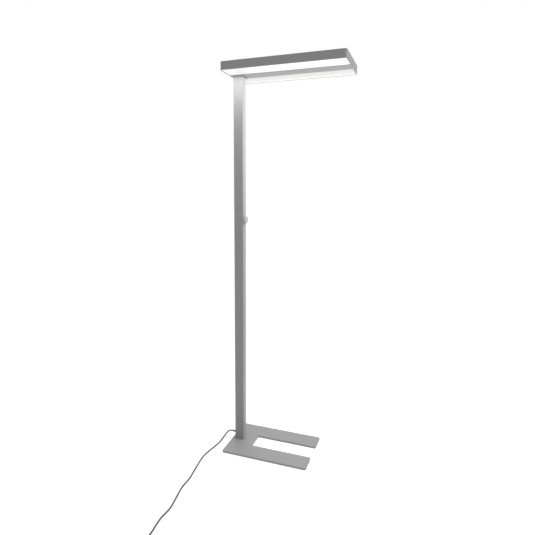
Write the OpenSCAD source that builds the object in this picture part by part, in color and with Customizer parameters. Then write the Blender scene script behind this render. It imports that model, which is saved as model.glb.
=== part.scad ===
// Office floor lamp: a flat light head on an off-centre mast with a slotted base plate.
// X runs along the head, away from the mast. Y runs across it. Z points up.
// The origin is on the floor, under the middle of the lamp's outline.

/* [Overall] */
// Height of the lamp, from the floor to the top of the head
lamp_h = 1952; // [1700:2:2100]

/* [Base] */
// Length of the base plate, along the head
base_l = 455; // [420:5:500]
// Width of the base plate
base_w = 306; // [270:2:340]
// Thickness of the base plate
base_t = 10; // [6:1:12]
// Corner radius of the base plate's outline
base_r = 8; // [4:1:16]
// How far the base plate reaches behind the mast
base_back = 16; // [12:1:30]
// Width of the slot that goes round a desk leg
slot_w = 104; // [80:2:120]
// Distance from the mast's back face to the slot's closed end
slot_start = 111; // [95:1:150]
// Radius of the slot's inner corners
slot_r = 10; // [4:1:20]
// Diameter of a pad under the base plate
pad_d = 24; // [16:1:32]
// Thickness of a pad
pad_t = 1; // [0.8:0.1:3]
// Distance from the plate's edge to a pad's centre
pad_inset = 22; // [18:1:30]

/* [Mast] */
// Depth of the mast, along the head
mast_l = 50; // [48:1:60]
// Width of the mast, across the head
mast_w = 38; // [36:1:42]
// Wall thickness of the mast
mast_wall = 2.5; // [2:0.1:3]
// Radius of the mast's outer corners
mast_r = 3; // [1:0.5:5]
// Distance from the mast's faces to the centre of a screw port
port_inset = 5.6; // [5.5:0.1:6.5]
// Wall round a screw port
port_wall = 1.6; // [1.2:0.1:1.8]

/* [Screws] */
// Thread diameter of the screws in the mast's ports
port_screw_d = 6; // [5:0.5:6]
// Head diameter of the screws in the mast's ports
port_head_d = 11; // [10:0.5:11]
// Length of the screws that hold the base plate
base_screw_l = 30; // [24:1:40]
// Length of the screws that hold the head's adapter
adapter_screw_l = 24; // [18:1:30]
// Diameter of the bolts that hold the head on its adapter
head_bolt_d = 5; // [4:0.5:6]
// Diameter of the small screws in the head
small_screw_d = 3; // [2.5:0.5:3]
// Play between a screw or lead and its hole, on the radius
hole_gap = 0.05; // [0.05:0.01:0.1]

/* [Head] */
// Length of the head
head_l = 588; // [500:1:640]
// Width of the head
head_w = 285; // [240:5:320]
// Height of the head
head_h = 38; // [36:1:46]
// How far the head reaches behind the mast
head_back = 13; // [8:1:20]
// Radius of the head's corners
head_r = 12; // [9:1:20]
// Width of the spine between the two diffusers
spine_w = 74; // [72:1:90]
// Thickness of the head's outer wall
rail_wall = 2; // [1.5:0.1:3]
// Width of the lip under a diffuser's edge, from the outer face
lip_w = 4; // [3.5:0.5:6]
// Thickness of the lips and ledges
lip_t = 1.5; // [1:0.1:2]
// Width of a ledge under a tray, inside the wall
tray_ledge_w = 6; // [5:0.5:6.5]
// Width of a ledge under an uplight cover, inside the wall
cover_ledge_w = 3; // [2:0.5:5]
// Height of the tray above the head's underside
tray_z = 18; // [17:0.5:19]
// Thickness of a tray
tray_t = 1.5; // [1:0.1:2]
// Depth of an uplight cover below the head's top
cover_drop = 2; // [1:0.5:3]
// Play round the panels in the head
panel_gap = 0.3; // [0.2:0.05:0.5]
// Thickness of a diffuser
diffuser_t = 2.5; // [2:0.5:4]
// Thickness of an uplight cover
uplight_t = 2.5; // [2:0.5:3]

/* [Spine] */
// Thickness of the spine's floor
floor_t = 2.5; // [2:0.1:3]
// Thickness of the spine's side walls
spine_wall = 2; // [1.5:0.1:3]
// How far the spine's flanges and lips stand out from its walls
spine_lip = 3; // [2:0.5:4]
// Thickness of the strip that closes the spine
strip_t = 1.5; // [1:0.1:2]
// Thickness of the adapter plate between the mast and the head
adapter_t = 3; // [3:0.5:6]
// How far the adapter plate stands out from the mast, along the head
adapter_edge = 1; // [0.5:0.5:4]

/* [Light and power] */
// Width of a light board
board_w = 40; // [30:1:60]
// Thickness of a light board
board_t = 1.6; // [1:0.1:2]
// Distance from the head's end to a light board
board_margin = 22.5; // [20:0.5:60]
// Lights along a board
led_count = 18; // [6:1:24]
// Size of a light package
led_size = 3.5; // [2:0.5:5]
// Length of the driver's case
driver_l = 280; // [200:5:300]
// Width of the driver's case
driver_w = 28; // [24:1:30]
// Height of the driver's case
driver_h = 21; // [16:1:24]
// Distance from the mast's back face to the driver's case
driver_start = 110; // [106:1:130]

/* [Dimmer] */
// Height of the dimmer knob above the floor
knob_z = 1220; // [900:1:1400]
// Diameter of the dimmer knob
knob_d = 35; // [26:1:36]
// How far the knob's face stands out from the mast
knob_out = 12; // [11:0.5:16]
// Gap between the mast and the knob at rest
knob_gap = 1.6; // [1.5:0.1:2]
// How far the knob can be pushed in
push_travel = 1; // [0.5:0.1:1]
// Diameter of the dimmer's shaft
shaft_d = 6; // [5:0.5:6]
// Running play of the shaft and the rotor, on the radius
run_gap = 0.05; // [0.02:0.01:0.08]
// Width of the encoder's case
encoder_w = 12; // [11.5:0.5:14]
// Depth of the encoder's case behind the mast's wall
encoder_h = 6.5; // [6:0.5:7]

/* [Cord] */
// Diameter of the mains lead
cord_d = 7; // [6:0.5:7]
// Height of the lead's exit above the floor
gland_z = 43; // [38:1:60]
// Length of the strain relief's tapered sleeve
sleeve_l = 22; // [20:1:22]
// Thickness of the gland's flange
flange_t = 2; // [1.5:0.5:2]
// Thickness of the gland's nut
gland_nut_t = 4; // [3:0.5:6]
// Radius of the lead's bends inside the lamp
lead_bend_r = 27; // [25:0.5:28]
// Diameter of the thin lead from the dimmer to the driver
control_d = 3; // [2:0.5:3]

/* [Hidden] */
$fn = 48;
eps = 0.01;

// Heights
plate_top = pad_t + base_t;
head_z = lamp_h - head_h;
mast_top = head_z - adapter_t;
mast_h = mast_top - plate_top;
tray_top = tray_z + tray_t;
uplight_z = head_h - cover_drop - uplight_t;
strip_z = head_h - strip_t;
direct_board_z = tray_z - board_t;
uplight_board_z = tray_top;

// Places along X: back means the side of the mast that points away from the head's free end
back_reach = max(base_back, head_back, flange_t + sleeve_l);
front_reach = max(base_l - base_back, head_l - head_back);
mast_x = (back_reach - front_reach) / 2;
mast_front = mast_x + mast_l;
head_x = mast_x - head_back;
base_x = mast_x - base_back;
slot_x = mast_x + slot_start;

// Mast
port_r = port_screw_d / 2 + hole_gap;
port_x = [mast_x + port_inset, mast_front - port_inset];
port_y = [-mast_w / 2 + port_inset, mast_w / 2 - port_inset];

// Head: the spine's body carries the flanges and ledges on its outer faces
spine_half = spine_w / 2 - spine_lip;
spine_in = spine_half - spine_wall;
spine_x = head_x + rail_wall;
spine_l = head_l - 2 * rail_wall;
rib_y = 11;
rib_w = 4;
rib_h = 3;
rib_top = floor_t + rib_h;
screw_rib_w = 6;
screw_rib_h = 8.5;
panel_l = head_l - 2 * (rail_wall + panel_gap);
panel_w = head_w / 2 - rail_wall - spine_half - 2 * panel_gap;
panel_r = head_r - rail_wall - panel_gap;
window_mid = (spine_w / 2 + head_w / 2 - lip_w) / 2;
board_l = head_l - 2 * board_margin;
led_h = 0.8;

// Screws in the head
small_r = small_screw_d / 2;
small_head_r = small_screw_d * 0.95;
small_head_t = small_screw_d * 0.5;
bracket_l = 16;
bracket_w = 30;
bracket_h = 20;
bracket_t = 2;
bracket_hole = 10;
bracket_screw_x = [spine_x + bracket_hole, spine_x + spine_l - bracket_hole];
rib_screw_l = 4.5;
bolt_inset = 8;
bolt_x = [mast_x + bolt_inset, mast_front - bolt_inset];
bolt_side = (mast_w / 2 + spine_in) / 2;
bolt_y = [-bolt_side, bolt_side];
bolt_r = head_bolt_d / 2;
bolt_head_d = head_bolt_d * 1.9;
bolt_nut_t = 4;
bolt_past_nut = 1;
strip_screw_n = 4;
strip_screw_l = 6;
strip_screw_end = 60;
strip_sink = 0.9;
hex_depth = 0.8;
tray_screw_n = 5;
tray_screw_end = 40;
tray_screw_past = 1;
tray_screw_y = [spine_half + tray_ledge_w / 2, head_w / 2 - rail_wall - tray_ledge_w / 2];

// Leads
cord_r = cord_d / 2;
control_r = control_d / 2;
gland_r = cord_r + 2;
gland_in = mast_x + mast_wall + gland_nut_t;
gland_out = mast_x - flange_t - sleeve_l;
mains_x = gland_in + lead_bend_r;
mains_run_z = head_z + rib_top + 3;
control_x = mast_front - mast_wall - 4;
control_y = 5.3;
control_bend_r = 8;
control_run_z = head_z + rib_top + 4;
lead_hole_x = mains_x - cord_r - 1.5;
adapter_hole_end = mast_front - 1;
spine_hole_end = mast_front + 1;
lead_hole_w = 14.4;
terminal_x = mains_x + lead_bend_r + 1.5;
terminal_l = 26;
terminal_h = 15.5;
terminal_y = [-9, 3.2];
link_y = [-6.5, -3, 0.5];
link_z = head_z + rib_top + 5.5;
link_r = 1.2;
driver_x = mast_x + driver_start;
driver_lug = 8;
driver_lug_t = 2;
board_lead_r = 1.2;
board_lead_x = driver_x + driver_l - 10;
board_lead_l = window_mid - board_w / 2 - driver_w / 2;
board_lead_z = [direct_board_z + 0.3, uplight_board_z + 1.3];
board_notch_w = 4;

// Dimmer, in its own frame: Z points out of the mast's front face, from that face
bushing_r = shaft_d / 2 + 0.5;
bushing_out = 4.5;
rotor_floor = 1.5;
rotor_r = encoder_w / 2 - 1.2 - run_gap;
rotor_gap = 0.3;
encoder_back = -mast_wall - encoder_h;
dimmer_board_l = 34;
dimmer_board_w = 16;
dimmer_board_t = 1.6;
dimmer_board_top = 22;
dome_r = 2;
dome_t = 0.5;
dome_gap = 0.3;
shaft_in = encoder_back + dome_t + dome_gap + push_travel;
knob_roof = 3;
knob_edge = 1.2;
knob_hollow = bushing_out + push_travel + 0.6;
knob_grip = 0.02;
shaft_out = knob_out - knob_roof;
set_screw_z = shaft_out - 1;
set_screw_r = 1.5;
set_screw_l = 6;
connector_gap = 1.5;
connector_h = 8;
connector_w = 5.2;
connector_t = encoder_h - 0.5;
nut_t = 2.2;
washer_t = 0.5;

// Free cord: points of its middle line, from the mast's back face, on its centre line
CORD_ROUTE = [
  [-24, 0, 43], [-34, 0, 42.2], [-44.3, -0.4, 38.5], [-53.2, -1.9, 31.5],
  [-61.5, -5.6, 20.4], [-67.4, -13.6, 10.7], [-70.9, -24.8, 5.1], [-71.4, -39.2, 3.6],
  [-69.8, -57.2, 3.5], [-70.5, -79.2, 3.5], [-73.5, -103, 3.5], [-79.5, -142.1, 3.5],
  [-86.5, -183.1, 3.5], [-89.5, -225.2, 3.5], [-86.5, -263.3, 3.5], [-81.5, -297.3, 3.5],
  [-76.5, -331.4, 3.5], [-71.5, -363.4, 3.5], [-66.5, -395.5, 3.5], [-64.5, -427.5, 3.5],
  [-65.5, -458.5, 3.5], [-63.5, -488.6, 3.5], [-58.5, -516.6, 3.5], [-53.5, -543.7, 3.5],
  [-48.5, -569.7, 3.5], [-43.5, -595.8, 3.5], [-40.5, -621.8, 3.5], [-41.5, -647.8, 3.5],
  [-44.3, -675.2, 3.5], [-43, -700.6, 3.5], [-40.7, -725.1, 3.5], [-36.4, -749.5, 3.5],
  [-34.1, -774.9, 3.5], [-33, -800, 4], [-33, -822, 4.6], [-33, -843, 4.6]
];
// Short lead to the plug: points from where the coil ends
PLUG_ROUTE = [[0, 0, 0], [10, 0, 0], [21, 0, 2], [32, 0, 5.5], [43, 0, 7.3], [54, 0, 7.3]];
ring_step = 2;
tube_sides = 8;

// Coil: two layers of turns, wound in and then out again
coil_mid = [21, -850];
coil_start_r = 54;
coil_pitch = 7.5;
coil_rise = 7.6;
coil_z = 4.5;
turns_in = 3.5;
turns_out = 3.75;
coil_turns = turns_in + turns_out;
coil_inner_r = coil_start_r - coil_pitch * turns_in;
rings_a_turn = 24;
coil_sides = 6;
tie_w = 12;
tie_t = 0.6;
tie_angle = 45;
tie_r = 1.5;
tie_passes = [for (i = [0:floor(coil_turns) - 1]) coil_r(i + (tie_angle + 180) / 360)];
tie_in_r = min(tie_passes) - cord_r - 1.1;
tie_out_r = max(tie_passes) + cord_r + 0.4;
tie_low = coil_z - cord_r - 0.3;
tie_high = coil_z + coil_rise + cord_r + 0.4;

// Plug, in its own frame: Z runs from the lead to the pins
plug_sleeve_l = 28;
plug_l = 62;
plug_r = 18.7;
pin_r = 2.4;
pin_l = 19;
pin_gap = 19;
pin_tip = 1;
pin_neck = 0.5;
pin_root = 8;
pin_root_r = 2.1;
clip_w = 6;
clip_t = 1.2;
clip_l = 12;
clip_depth = 2.6;
clip_play = 0.5;

// ---- Shared shapes ----

// A rectangle with round corners, from its low corner
module rounded_rect(l, w, r) {
  translate([r, 0]) square([l - 2 * r, w]);
  translate([0, r]) square([l, w - 2 * r]);
  for (x = [r, l - r], y = [r, w - r]) translate([x, y]) circle(r);
}

// A rectangle whose two far corners are round, centred on X, from Y = 0
module panel_shape(l, w, r) {
  translate([-l / 2, 0]) square([l, w - r]);
  translate([-l / 2 + r, 0]) square([l - 2 * r, w]);
  for (x = [-l / 2 + r, l / 2 - r]) translate([x, w - r]) circle(r);
}

// A screw that points along -Z with a cone head, its head's face at Z = 0
module countersunk_screw(d, head_d, l) {
  cone_h = (head_d - d) / 2;
  difference() {
    union() {
      translate([0, 0, -l]) cylinder(h = l, d = d);
      translate([0, 0, -cone_h]) cylinder(h = cone_h, d1 = d, d2 = head_d);
    }
    translate([0, 0, -cone_h * 0.6]) cylinder(h = cone_h, d = d * 0.6, $fn = 6);
  }
}

// The hole for such a screw
module countersunk_hole(d, head_d, l) {
  cone_h = (head_d - d) / 2;
  play = 2 * hole_gap;
  translate([0, 0, -l - eps]) cylinder(h = l + 2 * eps, d = d + play);
  translate([0, 0, -cone_h]) cylinder(h = cone_h, d1 = d + play, d2 = head_d + play);
  cylinder(h = 1, d = head_d + play);
}

// A screw that points along -Z with a flat round head that stands on Z = 0
module pan_screw(l) {
  difference() {
    union() {
      translate([0, 0, -l]) cylinder(h = l, r = small_r);
      cylinder(h = small_head_t, r = small_head_r);
    }
    translate([0, 0, small_head_t - hex_depth]) cylinder(h = 1, r = small_r * 0.6, $fn = 6);
  }
}

module at_ports(z) {
  for (x = port_x, y = port_y) translate([x, y, z]) children();
}

module at_bolts(z) {
  for (x = bolt_x, y = bolt_y) translate([x, y, z]) children();
}

// Both sides of the head: the second copy is on the far side
module both_sides() {
  children();
  mirror([0, 1, 0]) children();
}

// A quarter of a ring in the XZ plane, from the angle start, round its centre
module quarter_bend(centre, r, tube_r, start) {
  translate(centre) rotate([90, 0, 0]) rotate([0, 0, start]) rotate_extrude(angle = 90)
    translate([r, 0]) circle(tube_r);
}

// ---- Tubes along a route ----

function unit(v) = v / norm(v);
function spline(a, b, c, d, t) =
  0.5 * (2 * b + (c - a) * t + (2 * a - 5 * b + 4 * c - d) * t * t + (3 * b - a - 3 * c + d) * t * t * t);
function before_first(p) = 2 * p[0] - p[1];
function after_last(p) = 2 * p[len(p) - 1] - p[len(p) - 2];
// The route's points with a smooth point added in each stretch
function smooth_route(p, n) = let (q = concat([before_first(p)], p, [after_last(p)])) concat(
  [for (i = [1:len(p) - 1], k = [0:n - 1]) spline(q[i - 1], q[i], q[i + 1], q[i + 2], k / n)],
  [p[len(p) - 1]]
);
function heading(p, i) =
  i == 0 ? unit(p[1] - p[0]) :
  i == len(p) - 1 ? unit(p[i] - p[i - 1]) :
  unit(unit(p[i + 1] - p[i]) + unit(p[i] - p[i - 1]));
function ring(c, dir, r, n) =
  let (side = unit(cross(dir, [0, 0, 1])), up = cross(side, dir))
  [for (k = [0:n - 1]) let (a = 360 * (k + 0.5) / n) c + r * (cos(a) * side + sin(a) * up)];
function length_of(p, i = 1) = i >= len(p) ? 0 : norm(p[i] - p[i - 1]) + length_of(p, i + 1);

module tube(p, r, n) {
  last = len(p) - 1;
  points = [for (i = [0:last]) each ring(p[i], heading(p, i), r, n)];
  faces = concat(
    [for (k = [1:n - 2]) [0, k, k + 1]],
    [for (i = [0:last - 1], k = [0:n - 1]) [i * n + k, (i + 1) * n + k, (i + 1) * n + (k + 1) % n]],
    [for (i = [0:last - 1], k = [0:n - 1]) [i * n + k, (i + 1) * n + (k + 1) % n, i * n + (k + 1) % n]],
    [for (k = [1:n - 2]) [last * n, last * n + k + 1, last * n + k]]
  );
  polyhedron(points = points, faces = faces, convexity = 8);
}

// ---- Base ----

module base_outline() {
  prong_w = (base_w - slot_w) / 2;
  prong_l = base_l - (slot_start + base_back) + slot_r + base_r;
  difference() {
    union() {
      translate([base_x, -base_w / 2]) rounded_rect(slot_start + base_back, base_w, base_r);
      for (y = [-base_w / 2, slot_w / 2])
        translate([base_x + base_l - prong_l, y]) rounded_rect(prong_l, prong_w, base_r);
      translate([slot_x - base_r, -base_w / 2]) square([base_r + slot_r, prong_w + slot_r]);
      translate([slot_x - base_r, slot_w / 2 - slot_r]) square([base_r + slot_r, prong_w + slot_r]);
    }
    translate([slot_x + slot_r, -slot_w / 2 + slot_r]) circle(slot_r);
    translate([slot_x + slot_r, slot_w / 2 - slot_r]) circle(slot_r);
    translate([slot_x, -slot_w / 2 + slot_r]) square([base_l, slot_w - 2 * slot_r]);
    translate([slot_x + slot_r, -slot_w / 2]) square([base_l, slot_w]);
  }
}

module base_plate() {
  color("silver") difference() {
    translate([0, 0, pad_t]) linear_extrude(base_t) base_outline();
    at_ports(pad_t) mirror([0, 0, 1]) countersunk_hole(port_screw_d, port_head_d, base_t);
  }
}

module base_pads() {
  back = base_x + pad_inset;
  front = base_x + base_l - pad_inset;
  side = base_w / 2 - pad_inset;
  color("dimgray") for (x = [back, (back + front) / 2, front], y = [-side, side])
    translate([x, y, 0]) cylinder(h = pad_t, d = pad_d);
}

module mast_screws() {
  color("gray") at_ports(pad_t) mirror([0, 0, 1]) countersunk_screw(port_screw_d, port_head_d, base_screw_l);
}

// ---- Mast ----

module mast_section() {
  difference() {
    union() {
      difference() {
        translate([mast_x, -mast_w / 2]) rounded_rect(mast_l, mast_w, mast_r);
        translate([mast_x + mast_wall, -mast_w / 2 + mast_wall])
          square([mast_l - 2 * mast_wall, mast_w - 2 * mast_wall]);
      }
      for (x = port_x, y = port_y) translate([x, y]) circle(port_r + port_wall);
    }
    for (x = port_x, y = port_y) translate([x, y]) circle(port_r);
  }
}

module mast() {
  hole_l = mast_wall + 2;
  color("silver") difference() {
    translate([0, 0, plate_top]) linear_extrude(mast_h) mast_section();
    translate([mast_x - 1, 0, gland_z]) rotate([0, 90, 0]) cylinder(h = hole_l, r = gland_r + hole_gap);
    translate([mast_front + 1, 0, knob_z]) rotate([0, -90, 0])
      cylinder(h = hole_l, r = bushing_r + hole_gap);
  }
}

// The sleeve narrows towards the lead, and the lead runs through it
module cord_gland() {
  inside_l = mast_wall + gland_nut_t;
  color("dimgray") translate([mast_x, 0, gland_z]) rotate([0, -90, 0]) difference() {
    union() {
      translate([0, 0, -inside_l]) cylinder(h = inside_l + eps, r = gland_r);
      cylinder(h = flange_t, r = gland_r + 2);
      translate([0, 0, flange_t - eps]) cylinder(h = sleeve_l + eps, r1 = cord_r + 1.8, r2 = cord_r + 0.7);
    }
    translate([0, 0, -inside_l - 1]) cylinder(h = inside_l + flange_t + sleeve_l + 2, r = cord_r + hole_gap);
  }
}

module gland_nut() {
  color("dimgray") translate([mast_x + mast_wall, 0, gland_z]) rotate([0, 90, 0]) difference() {
    cylinder(h = gland_nut_t, r = gland_r + 2.5, $fn = 6);
    translate([0, 0, -1]) cylinder(h = gland_nut_t + 2, r = gland_r + hole_gap);
  }
}

// Through the gland, up the mast and into the spine
module inner_mains_lead() {
  color("dimgray") {
    translate([gland_out, 0, gland_z]) rotate([0, 90, 0]) cylinder(h = gland_in - gland_out, r = cord_r);
    quarter_bend([gland_in, 0, gland_z + lead_bend_r], lead_bend_r, cord_r, -90);
    translate([mains_x, 0, gland_z + lead_bend_r])
      cylinder(h = mains_run_z - gland_z - 2 * lead_bend_r, r = cord_r);
    quarter_bend([mains_x + lead_bend_r, 0, mains_run_z - lead_bend_r], lead_bend_r, cord_r, 90);
    translate([mains_x + lead_bend_r, 0, mains_run_z]) rotate([0, 90, 0])
      cylinder(h = terminal_x - mains_x - lead_bend_r, r = cord_r);
  }
}

// ---- Dimmer ----

module at_dimmer() {
  translate([mast_front, 0, knob_z]) rotate([0, 90, 0]) children();
}

module encoder_body() {
  color("darkslategray") at_dimmer() difference() {
    union() {
      translate([-encoder_w / 2, -encoder_w / 2, encoder_back]) cube([encoder_w, encoder_w, encoder_h]);
      translate([0, 0, -mast_wall - eps]) cylinder(h = mast_wall + bushing_out + eps, r = bushing_r);
    }
    translate([0, 0, encoder_back - eps]) cylinder(h = encoder_h - rotor_floor + eps, r = rotor_r + run_gap);
    translate([0, 0, encoder_back]) cylinder(h = bushing_out - encoder_back + 1, d = shaft_d + 2 * run_gap);
  }
}

// The notched wheel turns with the shaft, and the shaft slides through it
module encoder_rotor() {
  h = encoder_h - rotor_floor - 2 * rotor_gap;
  color("white") at_dimmer() translate([0, 0, encoder_back + rotor_gap]) difference() {
    cylinder(h = h, r = rotor_r);
    translate([0, 0, -1]) cylinder(h = h + 2, d = shaft_d + 2 * run_gap);
  }
}

module dimmer_shaft() {
  color("lightgray") at_dimmer() translate([0, 0, shaft_in]) cylinder(h = shaft_out - shaft_in, d = shaft_d);
}

// A disc with a narrow bevel below and a rounded edge above, hollow round the nut and the bushing
module dimmer_knob() {
  r = knob_d / 2;
  color("silver") at_dimmer() difference() {
    rotate_extrude($fn = 96) polygon([
      [0, knob_gap], [r - 0.5, knob_gap], [r, knob_gap + 0.5], [r, knob_out - knob_edge],
      [r - knob_edge * 0.3, knob_out - knob_edge * 0.3], [r - knob_edge, knob_out], [0, knob_out]
    ]);
    cylinder(h = knob_hollow, r = bushing_r + 5);
    cylinder(h = shaft_out + 0.1, r = shaft_d / 2 + knob_grip);
    translate([0, 0, set_screw_z]) rotate([0, 90, 0]) cylinder(h = r + 1, r = set_screw_r + hole_gap);
  }
}

// It bears on the shaft from below
module knob_set_screw() {
  color("gray") at_dimmer() translate([shaft_d / 2 + knob_grip, 0, set_screw_z]) rotate([0, 90, 0])
    difference() {
      cylinder(h = set_screw_l, r = set_screw_r);
      translate([0, 0, set_screw_l - 2]) cylinder(h = 3, r = set_screw_r * 0.55, $fn = 6);
    }
}

module dimmer_washer() {
  color("lightgray") at_dimmer() difference() {
    cylinder(h = washer_t, r = bushing_r + 3);
    translate([0, 0, -1]) cylinder(h = washer_t + 2, r = bushing_r + hole_gap);
  }
}

module dimmer_nut() {
  color("gray") at_dimmer() translate([0, 0, washer_t]) difference() {
    cylinder(h = nut_t, r = bushing_r + 2.8, $fn = 6);
    translate([0, 0, -1]) cylinder(h = nut_t + 2, r = bushing_r + hole_gap);
  }
}

module dimmer_board() {
  color("seagreen") at_dimmer()
    translate([-dimmer_board_top, -dimmer_board_w / 2, encoder_back - dimmer_board_t])
      cube([dimmer_board_l, dimmer_board_w, dimmer_board_t]);
}

module board_connector() {
  color("white") at_dimmer()
    translate([-encoder_w / 2 - connector_gap - connector_h, control_y - connector_w / 2, encoder_back])
      cube([connector_h, connector_w, connector_t]);
}

// The shaft presses this dome when the knob is pushed
module switch_dome() {
  color("lightgray") at_dimmer() translate([0, 0, encoder_back]) cylinder(h = dome_t, r = dome_r);
}

module control_lead() {
  start = knob_z + encoder_w / 2 + connector_gap + connector_h;
  bend_x = control_x + control_bend_r;
  bend_z = control_run_z - control_bend_r;
  color("dimgray") {
    translate([control_x, control_y, start]) cylinder(h = bend_z - start, r = control_r);
    quarter_bend([bend_x, control_y, bend_z], control_bend_r, control_r, 90);
    translate([bend_x, control_y, control_run_z]) rotate([0, 90, 0])
      cylinder(h = driver_x - bend_x, r = control_r);
  }
}

// ---- Adapter between mast and head ----

module lead_hole(z, h, end) {
  translate([lead_hole_x, -lead_hole_w / 2, z - 1]) cube([end - lead_hole_x, lead_hole_w, h + 2]);
}

module head_adapter() {
  color("silver") difference() {
    translate([0, 0, mast_top]) linear_extrude(adapter_t)
      translate([mast_x - adapter_edge, -spine_w / 2]) rounded_rect(mast_l + 2 * adapter_edge, spine_w, 2);
    at_ports(head_z) countersunk_hole(port_screw_d, port_head_d, adapter_t);
    at_bolts(mast_top) mirror([0, 0, 1]) countersunk_hole(head_bolt_d, bolt_head_d, adapter_t);
    lead_hole(mast_top, adapter_t, adapter_hole_end);
  }
}

module adapter_screws() {
  color("gray") at_ports(head_z) countersunk_screw(port_screw_d, port_head_d, adapter_screw_l);
}

module head_bolts() {
  l = adapter_t + floor_t + bolt_nut_t + bolt_past_nut;
  color("gray") at_bolts(mast_top) mirror([0, 0, 1]) countersunk_screw(head_bolt_d, bolt_head_d, l);
}

module head_nuts() {
  color("lightgray") at_bolts(head_z + floor_t) difference() {
    cylinder(h = bolt_nut_t, r = head_bolt_d * 0.92, $fn = 6);
    translate([0, 0, -1]) cylinder(h = bolt_nut_t + 2, r = bolt_r + hole_gap);
  }
}

// ---- Spine ----

// Half of the spine's section, for Y > 0, with Y drawn along X
module spine_half_section() {
  square([spine_half, floor_t]);
  square([spine_w / 2, lip_t]);
  translate([spine_in, 0]) square([spine_wall, strip_z]);
  translate([spine_in, tray_z - lip_t]) square([spine_wall + tray_ledge_w, lip_t]);
  translate([spine_in, uplight_z - lip_t]) square([spine_wall + cover_ledge_w, lip_t]);
  translate([rib_y - rib_w / 2, 0]) square([rib_w, rib_top]);
  translate([spine_in - screw_rib_w, strip_z - screw_rib_h]) square([screw_rib_w + eps, screw_rib_h]);
}

function strip_screw_x(i) =
  spine_x + strip_screw_end + i * (spine_l - 2 * strip_screw_end) / (strip_screw_n - 1);

module at_strip_screws(z) {
  for (i = [0:strip_screw_n - 1], y = [-spine_in + screw_rib_w / 2, spine_in - screw_rib_w / 2])
    translate([strip_screw_x(i), y, z]) children();
}

module at_bracket_screws(z) {
  for (x = bracket_screw_x, y = [-rib_y, rib_y]) translate([x, y, z]) children();
}

module at_driver_screws(z) {
  for (x = [driver_x - driver_lug / 2, driver_x + driver_l + driver_lug / 2], y = [-rib_y, rib_y])
    translate([x, y, z]) children();
}

function tray_screw_x(i) = head_x + tray_screw_end + i * (head_l - 2 * tray_screw_end) / (tray_screw_n - 1);

module at_tray_screws(z) {
  for (i = [0:tray_screw_n - 1], y = tray_screw_y) translate([tray_screw_x(i), y, z]) children();
}

module rib_hole() {
  translate([0, 0, -5]) cylinder(h = 5 + eps, r = small_r + hole_gap);
}

module spine_profile() {
  color("silver") difference() {
    translate([spine_x, 0, head_z]) rotate([90, 0, 90]) linear_extrude(spine_l) {
      spine_half_section();
      mirror([1, 0]) spine_half_section();
    }
    lead_hole(head_z, rib_top, spine_hole_end);
    at_bolts(head_z) translate([0, 0, -1]) cylinder(h = floor_t + 2, r = bolt_r + hole_gap);
    at_strip_screws(head_z + strip_z - strip_screw_l)
      cylinder(h = strip_screw_l + 1, r = small_r + hole_gap);
    at_bracket_screws(head_z + rib_top) rib_hole();
    at_driver_screws(head_z + rib_top) rib_hole();
    both_sides() at_tray_screws(head_z + tray_z - lip_t - 1) cylinder(h = lip_t + 2, r = small_r + hole_gap);
    both_sides() translate([board_lead_x - board_notch_w / 2, spine_in - 1, head_z + direct_board_z - 2])
      cube([board_notch_w, spine_wall + tray_ledge_w + 2, tray_top + 5 - direct_board_z]);
  }
}

module spine_strip() {
  color("silver") difference() {
    translate([spine_x + panel_gap, -spine_half, head_z + strip_z])
      cube([spine_l - 2 * panel_gap, 2 * spine_half, strip_t]);
    at_strip_screws(head_z + strip_z - 1) cylinder(h = strip_t + 2, r = small_r + hole_gap);
    at_strip_screws(head_z + head_h - strip_sink)
      cylinder(h = strip_sink + eps, r1 = small_r + hole_gap, r2 = small_r + strip_sink + hole_gap);
  }
}

module strip_screws() {
  l = strip_t + strip_screw_l - 0.5;
  color("gray") at_strip_screws(head_z + head_h) difference() {
    union() {
      translate([0, 0, -l]) cylinder(h = l, r = small_r);
      translate([0, 0, -strip_sink]) cylinder(h = strip_sink, r1 = small_r, r2 = small_r + strip_sink);
    }
    translate([0, 0, -hex_depth]) cylinder(h = 1, r = small_r * 0.6, $fn = 6);
  }
}

// ---- Frame round the head ----

// The frame's section: X runs inwards from the outer face
module rail_section() {
  square([rail_wall, head_h]);
  square([lip_w, lip_t]);
  translate([0, tray_z - lip_t]) square([rail_wall + tray_ledge_w, lip_t]);
  translate([0, uplight_z - lip_t]) square([rail_wall + cover_ledge_w, lip_t]);
}

// A straight piece of the frame whose outer face is at Y = 0, from X = 0, standing on Z = 0
module rail(l) {
  rotate([90, 0, 90]) linear_extrude(l) rail_section();
}

module near_rail_shape() {
  difference() {
    translate([head_x + head_r, -head_w / 2, head_z]) rail(head_l - 2 * head_r);
    mirror([0, 1, 0]) at_tray_screws(head_z + tray_z - lip_t - 1)
      cylinder(h = lip_t + 2, r = small_r + hole_gap);
  }
}

module near_rail() {
  color("silver") near_rail_shape();
}

module far_rail() {
  color("silver") mirror([0, 1, 0]) near_rail_shape();
}

// An end of the frame: its lower lip and its ledges stop at the spine
module end_rail_shape() {
  l = head_w - 2 * head_r;
  clear_y = spine_w / 2 + tray_ledge_w + panel_gap;
  difference() {
    translate([0, l / 2, 0]) rotate([0, 0, -90]) rail(l);
    translate([rail_wall, -clear_y, lip_t]) cube([tray_ledge_w + 1, 2 * clear_y, head_h]);
    translate([rail_wall, -spine_w / 2, -1]) cube([lip_w, spine_w, lip_t + 2]);
  }
}

module mast_end_rail() {
  color("silver") translate([head_x, 0, head_z]) end_rail_shape();
}

module free_end_rail() {
  color("silver") translate([head_x + head_l, 0, head_z]) mirror([1, 0, 0]) end_rail_shape();
}

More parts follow.
